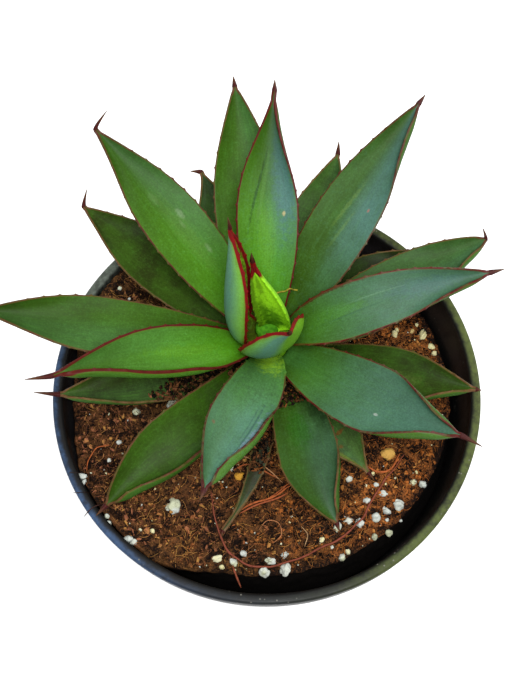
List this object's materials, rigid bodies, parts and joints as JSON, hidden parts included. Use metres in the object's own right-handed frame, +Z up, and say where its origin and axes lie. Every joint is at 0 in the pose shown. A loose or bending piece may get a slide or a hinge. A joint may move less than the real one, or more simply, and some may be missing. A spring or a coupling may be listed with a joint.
{
  "type": "potted agave",
  "caption": "Rosette of broad, red-edged, spine-tipped agave leaves on a short stem, growing in a round black nursery pot filled with coarse coconut fibre soil.",
  "frame": {"origin": "centre of the pot's underside", "axes": "+Z up along the pot's axis; -Y is the front, towards the picture's viewer; +X is to the viewer's right"},
  "size_m": [0.1747, 0.1756, 0.1799],
  "materials": {
    "pot_plastic": "worn satin black",
    "soil": "coarse coconut fibre and bark crumb",
    "perlite": "chalky white grains",
    "stem": "pale fibrous plant stem",
    "young_leaf": "satin green leaf with a yellow-green base and red margins",
    "green_leaf": "satin green leaf with a bluish bloom and thin red margins",
    "old_leaf": "dark green leaf with tan margins"
  },
  "bodies": {
    "root": {"pot": "pot_plastic", "soil": "soil", "stem": "stem", "leaf_01": "young_leaf", "leaf_02": "young_leaf", "leaf_03": "young_leaf", "leaf_04": "young_leaf", "leaf_05": "young_leaf", "leaf_06": "green_leaf", "leaf_07": "green_leaf", "leaf_08": "green_leaf", "leaf_09": "green_leaf", "leaf_10": "green_leaf", "leaf_11": "green_leaf", "leaf_12": "green_leaf", "leaf_13": "green_leaf", "leaf_14": "old_leaf", "leaf_15": "old_leaf", "leaf_16": "old_leaf", "leaf_17": "old_leaf", "leaf_18": "old_leaf", "leaf_19": "old_leaf", "leaf_20": "old_leaf", "leaf_21": "old_leaf", "leaf_22": "old_leaf", "leaf_24": "old_leaf"}
  },
  "joints": []
}
